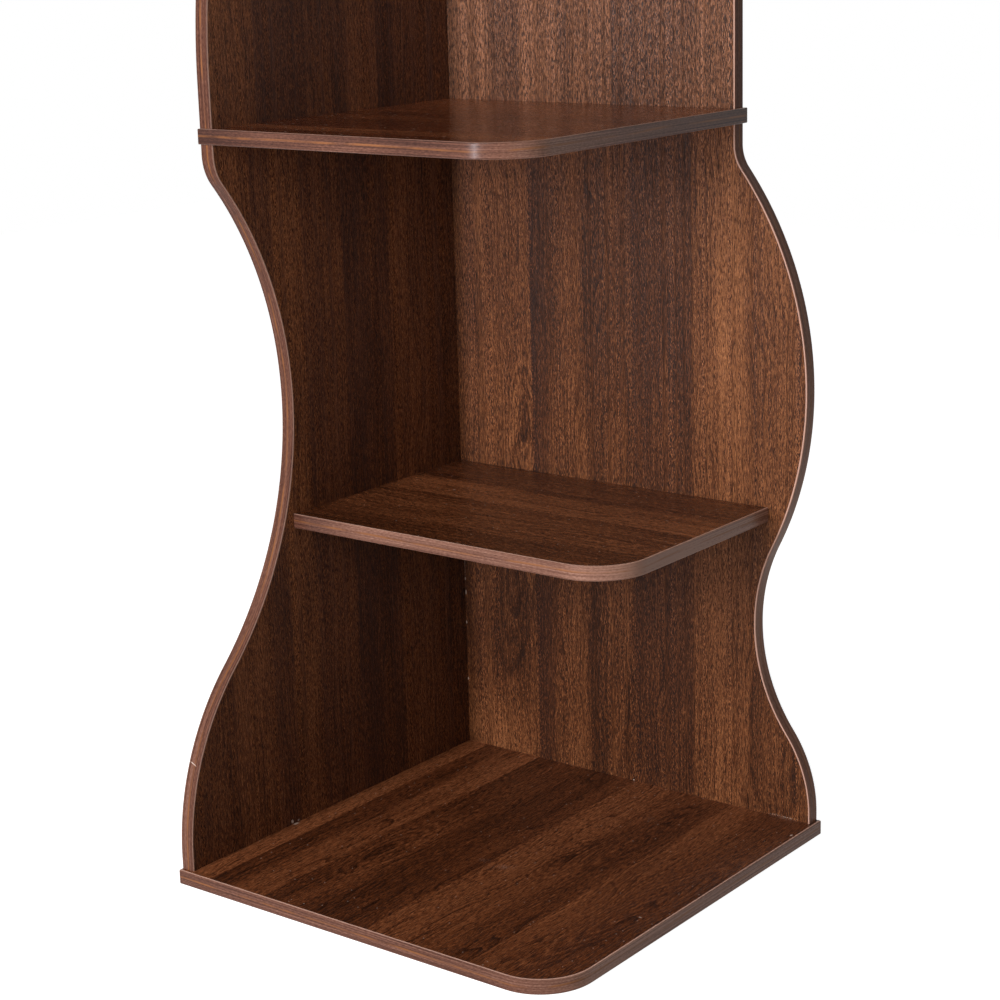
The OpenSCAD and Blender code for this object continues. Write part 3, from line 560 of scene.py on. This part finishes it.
def pvcEdgeBand(name, band):
    made, tree, shader = newMaterial(name, {
        "IOR": bandLook["ior"], "Specular IOR Level": band["gloss"], "Roughness": bandLook["roughness"]})
    across = measured(tree, *band["across"])
    along = measured(tree, *band["along"])
    flat = addNode(tree, "CombineXYZ", {}, {"X": across, "Y": along, "Z": 0.0})

    def lines(kind):
        width, length, shift, share = bandLook[kind]
        stretched = addNode(tree, "Mapping", {}, {
            "Vector": flat, "Scale": (1 / width, 1 / length, 1.0),
            "Location": (band["seed"] + shift, shift, 0.0)})
        drawn = addNode(tree, "TexNoise", {"noise_dimensions": "2D"}, {
            "Vector": stretched, "Scale": 1.0, "Detail": bandLook["detail"],
            "Roughness": bandLook["noiseRoughness"]})
        return addNode(tree, "Math", {"operation": "MULTIPLY_ADD"}, {0: drawn, 1: share, 2: -share / 2})

    # how light the band is along its length, by distance in mm: the print's own variation, and on the
    # boards' bands painted light round the corner and along the side
    first, last = band["shades"][0][0], band["shades"][-1][0]
    where = addNode(tree, "MapRange", {}, {"Value": along, "From Min": first, "From Max": last})
    stops = [((d - first) / (last - first), (v, v, v, 1)) for d, v in band["shades"]]
    shade = addNode(tree, "ValToRGB", {"stops": stops}, {"Fac": where})
    tone = addNode(tree, "Math", {"operation": "ADD"}, {0: lines("streak"), 1: shade})
    dashes = lines("dash")
    tone = addNode(tree, "Math", {"operation": "ADD"}, {0: dashes, 1: tone})
    printed = addNode(tree, "ValToRGB", {"stops": colourStops(bandLook["tones"])}, {"Fac": tone})

    # one warmer streak near the middle, wandering slightly and fading in and out
    often, lowest, highest = bandLook["warmWander"]
    drift = addNode(tree, "TexNoise", {"noise_dimensions": "1D"}, {
        "W": along, "Scale": often, "Detail": 1.0})
    middle = addNode(tree, "MapRange", {}, {"Value": drift, "To Min": lowest, "To Max": highest})
    offset = addNode(tree, "Math", {"operation": "SUBTRACT"}, {0: across, 1: middle})
    away = addNode(tree, "Math", {"operation": "ABSOLUTE"}, {0: offset})
    outer, inner = bandLook["warmHalf"]
    streak = addNode(tree, "MapRange", {"interpolation_type": "SMOOTHSTEP"}, {
        "Value": away, "From Min": outer, "From Max": inner, "To Max": bandLook["warmShare"]})
    often, none, full = bandLook["warmFading"]
    fading = addNode(tree, "TexNoise", {"noise_dimensions": "1D"}, {
        "W": along, "Scale": often, "Detail": 1.0})
    faded = addNode(tree, "MapRange", {}, {"Value": fading, "From Min": none, "From Max": full})
    streak = addNode(tree, "Math", {"operation": "MULTIPLY"}, {0: streak, 1: faded})
    warmed = addNode(tree, "Mix", {"data_type": "RGBA"}, {
        0: streak, 6: printed, 7: linear(bandLook["warm"])})

    # bared core at both arrises, painted light enough to be the arris highlight as well
    edge = addNode(tree, "Math", {"operation": "ABSOLUTE"}, {0: across})
    printEnd = bandLook["halfWidth"] - bandLook["arris"]
    inwards, outwards = bandLook["arrisSoft"]
    arrisCoreAndHighlight = addNode(tree, "MapRange", {"interpolation_type": "SMOOTHSTEP"}, {
        "Value": edge, "From Min": printEnd - inwards, "From Max": printEnd + outwards})
    surface = addNode(tree, "Mix", {"data_type": "RGBA"}, {
        0: arrisCoreAndHighlight, 6: warmed.outputs[2], 7: linear(bandLook["core"])}).outputs[2]
    if band["marks"]:
        surface = chippedAt(tree, surface, marksMask(tree, flat, band["marks"]))
    tree.links.new(surface, shader.inputs["Base Color"])
    bump = addNode(tree, "Bump", {}, {
        "Height": dashes, "Distance": bandLook["dashDepth"], "Strength": 1.0})
    tree.links.new(bump.outputs["Normal"], shader.inputs["Normal"])
    return made


# Core, metals, beech
# Particleboard: spruce chips glued and pressed. To the eye: pale chips of 1 to 4 mm in a mealy
# ground, quite dull.
coreLook = {
    "tones": [(0.15, "a0784e"), (0.5, "c9a274"), (1.0, "e2c698")],
    "chips": 420.0,          # to a metre, so about 2.4 mm each
    "meal": (900.0, 2.0, 0.5),            # grains to a metre, detail, share of the tone
    "depth": 0.0002,         # m
    "shader": {"Roughness": 0.85, "Specular IOR Level": 0.25},
}


def rawParticleboard():
    made, tree, shader = newMaterial("rawParticleboard", coreLook["shader"])
    place = addNode(tree, "TexCoord").outputs["Object"]
    chips = addNode(tree, "TexVoronoi", {"feature": "F1"}, {"Vector": place, "Scale": coreLook["chips"]})
    grains, detail, share = coreLook["meal"]
    meal = addNode(tree, "TexNoise", {}, {"Vector": place, "Scale": grains, "Detail": detail})
    chipTone = addNode(tree, "SeparateColor", {}, {"Color": chips.outputs["Color"]}).outputs["Red"]
    mixed = addNode(tree, "Math", {"operation": "MULTIPLY_ADD"}, {0: meal, 1: share, 2: chipTone})
    shade = addNode(tree, "ValToRGB", {"stops": colourStops(coreLook["tones"])}, {"Fac": mixed})
    tree.links.new(shade.outputs[0], shader.inputs["Base Color"])
    bump = addNode(tree, "Bump", {}, {"Height": mixed, "Distance": coreLook["depth"], "Strength": 1.0})
    tree.links.new(bump.outputs["Normal"], shader.inputs["Normal"])
    return made


# Fittings: grain is how many times to a metre the pattern comes along x, y and z, depth is in m
fittingLooks = {
    # steel, turned and barrel plated with zinc: bright, slightly bluish, a little cloudy
    "zincPlatedSteel": {
        "tones": [(0.3, "a9adb2"), (0.7, "cfd2d4")], "grain": (350.0, 350.0, 350.0), "detail": 3.0,
        "roughness": (0.22, 0.42), "shader": {"Metallic": 1.0, "Roughness": 0.3}},
    # zinc alloy, die cast and left raw: grey, dull, with a grain of about half a millimetre
    "dieCastZinc": {
        "tones": [(0.3, "8c8f92"), (0.7, "b4b6b8")], "grain": (1500.0, 1500.0, 1500.0), "detail": 2.0,
        "depth": 0.00005, "shader": {"Metallic": 1.0, "Roughness": 0.5}},
    # beech, turned to dowels and left raw: pale, with short darker rays along z
    "turnedBeech": {
        "tones": [(0.3, "b08a60"), (0.7, "d3b48a")], "grain": (900.0, 900.0, 160.0), "detail": 2.0,
        "shader": {"Roughness": 0.7, "Specular IOR Level": 0.3}},
}


def fittingFinish(name):
    look = fittingLooks[name]
    made, tree, shader = newMaterial(name, look["shader"])
    place = addNode(tree, "TexCoord").outputs["Object"]
    stretched = addNode(tree, "Mapping", {}, {"Vector": place, "Scale": look["grain"]})
    cloud = addNode(tree, "TexNoise", {}, {"Vector": stretched, "Scale": 1.0, "Detail": look["detail"]})
    shade = addNode(tree, "ValToRGB", {"stops": colourStops(look["tones"])}, {"Fac": cloud})
    tree.links.new(shade.outputs[0], shader.inputs["Base Color"])
    if "roughness" in look:
        smooth, rough = look["roughness"]
        sheen = addNode(tree, "MapRange", {}, {"Value": cloud, "To Min": smooth, "To Max": rough})
        tree.links.new(sheen.outputs[0], shader.inputs["Roughness"])
    if "depth" in look:
        bump = addNode(tree, "Bump", {}, {"Height": cloud, "Distance": look["depth"], "Strength": 1.0})
        tree.links.new(bump.outputs["Normal"], shader.inputs["Normal"])
    return made


# Boards and bands
boardShape = {
    "mergeWithin": 0.000002, # m, corners that are one
    "flatWithin": 0.05,      # degrees, edges that lie in a flat face
    "facing": 0.999,         # how straight a wide face points along its axis
    "onFace": 0.00005,       # m from the board's outer face
}


def takeNode(nodeName, pieceName):
    # a merged copy of the CAD node, its flat faces whole again
    made = bpy.data.objects.new(pieceName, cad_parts[nodeName].data.copy())
    bpy.context.scene.collection.objects.link(made)
    made.data.materials.clear()
    bpy.ops.object.select_all(action="DESELECT")
    made.select_set(True)
    bpy.context.view_layer.objects.active = made
    bpy.ops.mesh.customdata_custom_splitnormals_clear()
    bpy.ops.object.shade_flat()
    bpy.ops.object.mode_set(mode="EDIT")
    bpy.ops.mesh.select_all(action="SELECT")
    bpy.ops.mesh.remove_doubles(threshold=boardShape["mergeWithin"])
    bpy.ops.mesh.dissolve_limited(angle_limit=math.radians(boardShape["flatWithin"]))
    bpy.ops.mesh.select_all(action="DESELECT")
    bpy.ops.object.mode_set(mode="OBJECT")
    return made


def finishPiece(made, nodeName):
    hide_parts(nodeName)
    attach(made, "root")


def makeBoard(nodeName, pieceName, faceAxis, decorMaterial):
    # decor on the two wide faces, raw core on the sawn edges and in the borings
    made = takeNode(nodeName, pieceName)
    made.data.materials.append(decorMaterial)
    made.data.materials.append(particleboard)
    low, high = (corner[faceAxis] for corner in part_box(nodeName))
    for face in made.data.polygons:
        wide = abs(face.normal[faceAxis]) > boardShape["facing"]
        depth = min(abs(face.center[faceAxis] - low), abs(face.center[faceAxis] - high))
        face.material_index = 0 if wide and depth < boardShape["onFace"] else 1
    finishPiece(made, nodeName)


bandShape = {
    "arrisRadius": 0.0012,   # m
    "segments": 4,           # facets round it
    "onSide": 0.00002,       # m from the band's flat side
    "upright": 0.01,         # how little a front face points along the axis of the flat sides
    "outwards": 0.02,        # how much it points away from the board
    "smoothBelow": 35,       # degrees
}


def makeBand(nodeName, pieceName, faceAxis, outward, bandMaterial):
    # the trimmed radius runs along both outer arrises
    made = takeNode(nodeName, pieceName)
    made.data.materials.append(bandMaterial)
    sides = [corner[faceAxis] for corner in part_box(nodeName)]
    bpy.ops.object.mode_set(mode="EDIT")
    mesh = bmesh.from_edit_mesh(made.data)

    def isFront(face):
        out = face.normal.x * outward[0] + face.normal.y * outward[1]
        return abs(face.normal[faceAxis]) < bandShape["upright"] and out > bandShape["outwards"]

    for edge in mesh.edges:
        ends = [v.co[faceAxis] for v in edge.verts]
        onSide = any(all(abs(c - side) < bandShape["onSide"] for c in ends) for side in sides)
        fronts = [f for f in edge.link_faces if isFront(f)]
        flats = [f for f in edge.link_faces if abs(f.normal[faceAxis]) > boardShape["facing"]]
        edge.select_set(onSide and len(fronts) == 1 and len(flats) == 1)
    bmesh.update_edit_mesh(made.data)
    bpy.ops.mesh.bevel(offset=bandShape["arrisRadius"], segments=bandShape["segments"], affect="EDGES")
    bpy.ops.mesh.select_all(action="DESELECT")
    bpy.ops.object.mode_set(mode="OBJECT")
    bpy.ops.object.shade_smooth_by_angle(angle=math.radians(bandShape["smoothBelow"]))
    weighted = made.modifiers.new("evenShading", "WEIGHTED_NORMAL")
    weighted.keep_sharp = True
    bpy.ops.object.modifier_apply(modifier=weighted.name)
    finishPiece(made, nodeName)


particleboard = rawParticleboard()
boards = [
    # node, piece, axis of its faces, record slot, finish, decor
    ("base_board", "baseBoard", 2, "shelf_boards", "walnutBase", baseDecor),
    ("left_panel_lower", "leftPanelLower", 0, "left_panel_boards", "walnutLeftLower", leftLowerDecor),
    ("right_panel_lower", "rightPanelLower", 1, "right_panel_boards", "walnutRightLower", rightLowerDecor),
    ("lower_shelf", "lowerShelf", 2, "shelf_boards", "walnutLowerShelf", lowerShelfDecor),
    ("middle_board", "middleBoard", 2, "shelf_boards", "walnutMiddle", middleDecor),
    ("left_panel_upper", "leftPanelUpper", 0, "left_panel_boards", "walnutLeftUpper", leftUpperDecor),
    ("right_panel_upper", "rightPanelUpper", 1, "right_panel_boards", "walnutRightUpper", rightUpperDecor),
    ("upper_shelf", "upperShelf", 2, "shelf_boards", "walnutUpperShelf", upperShelfDecor),
    ("top_board", "topBoard", 2, "shelf_boards", "walnutTop", topDecor),
]
for nodeName, pieceName, faceAxis, slotName, finishName, decor in boards:
    makeBoard(nodeName, pieceName, faceAxis, walnutMelamine(finishName, decor))
print("boards made:", len(boards))

# How light each band is along its length: distance in mm and tone. On the boards' bands the tone rises
# round the corner and along the side faces: painted light there, over the print's own variation. The
# distance is x + y on the boards' bands, from the left front end round the corner to the right back end,
# and z on the panels'.
baseShades = [(-500, 0.38), (-90, 0.42), (-50, 0.54), (0, 0.62), (60, 0.84), (110, 0.9), (200, 0.86),
              (320, 0.78), (500, 0.74)]
shelfShades = [(-295, 0.24), (-262, 0.28), (-200, 0.56), (10, 0.55), (60, 0.58), (90, 0.8), (120, 0.82),
               (150, 0.94), (180, 1.1), (240, 1.1), (300, 0.96), (400, 0.84), (425, 0.72)]
middleShades = [(-407, 0.0), (-380, 0.04), (-320, 0.25), (-200, 0.3), (-130, 0.16), (-90, 0.2),
                (-50, 0.28), (-20, 0.46), (20, 0.68), (60, 0.84), (120, 0.7), (220, 0.47), (310, 0.36),
                (388, 0.2)]
leftShades = [(0, 0.42), (220, 0.34), (320, 0.46), (420, 0.32), (560, 0.36), (700, 0.34), (800, 0.26),
              (1600, 0.26)]
rightShades = [(0, 0.72), (60, 0.72), (130, 0.7), (220, 0.96), (420, 0.96), (520, 0.74), (740, 0.6),
               (800, 0.44), (1600, 0.44)]
# a small nick near the foot of the left band, at mm across and along it
nick = {"at": (-1.5, 131), "size": (5.0, 0.5), "lean": 20, "strength": 0.9}
bands = [
    # node, piece, axis of its flat sides, outward direction in plan, gloss, shades, marks
    ("base_edge_band", "baseEdgeBand", 2, (1, -1), 0.08, baseShades, []),
    ("left_panel_lower_band", "leftPanelLowerBand", 0, (0, -1), 0.06, leftShades, [nick]),
    ("right_panel_lower_band", "rightPanelLowerBand", 1, (1, 0), 0.04, rightShades, []),
    ("lower_shelf_band", "lowerShelfBand", 2, (1, -1), 0.12, shelfShades, []),
    ("middle_edge_band", "middleEdgeBand", 2, (1, -1), 0.16, middleShades, []),
    ("left_panel_upper_band", "leftPanelUpperBand", 0, (0, -1), 0.06, leftShades, []),
    ("right_panel_upper_band", "rightPanelUpperBand", 1, (1, 0), 0.04, rightShades, []),
    ("upper_shelf_band", "upperShelfBand", 2, (1, -1), 0.08, shelfShades, []),
    ("top_edge_band", "topEdgeBand", 2, (1, -1), 0.1, middleShades, []),
]
for number, (nodeName, pieceName, faceAxis, outward, gloss, shades, marks) in enumerate(bands, 1):
    # across the band from its middle, and along it, both in mm
    low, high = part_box(nodeName)
    across = [0.0, 0.0, 0.0]
    across[faceAxis] = 1000.0
    middle = -1000.0 * (low[faceAxis] + high[faceAxis]) / 2
    along = (1000.0, 1000.0, 0.0) if faceAxis == 2 else (0.0, 0.0, 1000.0)
    look = {"across": (across, middle), "along": (along, 0.0), "seed": number * bandLook["seedStep"],
            "gloss": gloss, "shades": shades, "marks": marks}
    makeBand(nodeName, pieceName, faceAxis, outward, pvcEdgeBand(pieceName + "Pvc", look))
print("edge bands made:", len(bands))

# Fittings keep their CAD shape and get their metal or wood
finishes = {"bolts": fittingFinish("zincPlatedSteel"), "cams": fittingFinish("dieCastZinc"),
            "dowels": fittingFinish("turnedBeech")}
fittings = 0
for nodeName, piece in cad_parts.items():
    finish = finishes.get(nodeName.split("_")[-1])
    if finish:
        piece.data.materials.clear()
        piece.data.materials.append(finish)
        fittings += 1
print("fittings finished:", fittings)


# Floor, light, camera
def directlySeen(tree):
    # 1 for the camera's own rays, also in a reflection or through glass, and 0 for those that
    # light the object
    rays = addNode(tree, "LightPath")
    seen = addNode(tree, "Math", {"operation": "MAXIMUM"}, {
        0: rays.outputs["Is Camera Ray"], 1: rays.outputs["Is Glossy Ray"]})
    return addNode(tree, "Math", {"operation": "MAXIMUM"}, {
        0: seen, 1: rays.outputs["Is Transmission Ray"]})


floorLook = {
    "size": 9.0,             # m
    "drop": 0.0004,          # m under the base board, so that they share no plane
    "colour": "c4c4c4",
    "roughness": 0.9,
    "cameraGlow": 0.94,      # a little under 1, so the object's shadow stays
}


def studioFloor():
    bpy.ops.mesh.primitive_plane_add(size=floorLook["size"], location=(0, 0, -floorLook["drop"]))
    floor = bpy.context.active_object
    floor.name = "studioFloor"
    made, tree, shader = newMaterial("whiteFloor", {
        "Roughness": floorLook["roughness"], "Base Color": linear(floorLook["colour"]),
        "Emission Color": (1, 1, 1, 1)})
    glow = addNode(tree, "Math", {"operation": "MULTIPLY"}, {
        0: directlySeen(tree), 1: floorLook["cameraGlow"]})
    tree.links.new(glow.outputs[0], shader.inputs["Emission Strength"])
    floor.data.materials.append(made)


worldLook = {"colour": "ffffff", "level": 0.07}    # level is what lights the object


def studioWorld():
    world = bpy.data.worlds.new("studioWorld")
    bpy.context.scene.world = world
    world.use_nodes = True
    tree = world.node_tree
    back = tree.nodes["Background"]
    level = addNode(tree, "MapRange", {}, {
        "Value": directlySeen(tree), "To Min": worldLook["level"], "To Max": 1.0})
    back.inputs["Color"].default_value = linear(worldLook["colour"])
    tree.links.new(level.outputs[0], back.inputs["Strength"])


lamps = [
    # name, place, aim, width and height in m, power in W, colour
    ("keySoftbox", (0.05, -2.1, 1.5), (0.0, 0.2, 0.85), (1.3, 1.0), 44.0, "fffaf5"),
    ("stripSoftbox", (-0.3, -2.0, 0.75), (0.0, 0.0, 0.75), (0.1, 0.9), 25.0, "fbf8ff"),
    ("sideSoftbox", (2.6, -0.9, 1.0), (0.0, 0.0, 0.7), (1.0, 1.4), 4.0, "ffffff"),
]


def studioLamps():
    for name, place, aim, size, power, colour in lamps:
        data = bpy.data.lights.new(name, "AREA")
        data.shape = "RECTANGLE"
        data.size, data.size_y = size
        data.energy = power
        data.color = linear(colour)[:3]
        lamp = bpy.data.objects.new(name, data)
        bpy.context.scene.collection.objects.link(lamp)
        lamp.location = place
        way = [a - p for a, p in zip(aim, place)]
        tilt = math.atan2(math.hypot(way[0], way[1]), -way[2])
        turn = math.atan2(way[1], way[0]) - math.pi / 2
        lamp.rotation_euler = (tilt, 0.0, turn)


cameraLook = {
    "place": (1.42895, -1.82677, 1.00743),                      # m
    "yaw": -0.661967, "pitch": -0.254036, "roll": -0.027374,    # radians
    "lens": 82.177, "sensor": 36.0,                             # mm
    "clipEnd": 60.0,                                            # m
}


def studioCamera():
    data = bpy.data.cameras.new("photoCamera")
    data.sensor_width = cameraLook["sensor"]
    data.lens = cameraLook["lens"]
    data.clip_end = cameraLook["clipEnd"]
    camera = bpy.data.objects.new("photoCamera", data)
    bpy.context.scene.collection.objects.link(camera)
    turn = (Matrix.Rotation(-cameraLook["yaw"], 4, "Z")
            @ Matrix.Rotation(math.pi / 2 + cameraLook["pitch"], 4, "X")
            @ Matrix.Rotation(cameraLook["roll"], 4, "Z"))
    camera.matrix_world = Matrix.Translation(cameraLook["place"]) @ turn
    bpy.context.scene.camera = camera


studioFloor()
studioWorld()
studioLamps()
studioCamera()
bpy.context.scene.view_settings.view_transform = "Standard"
print("studio made")
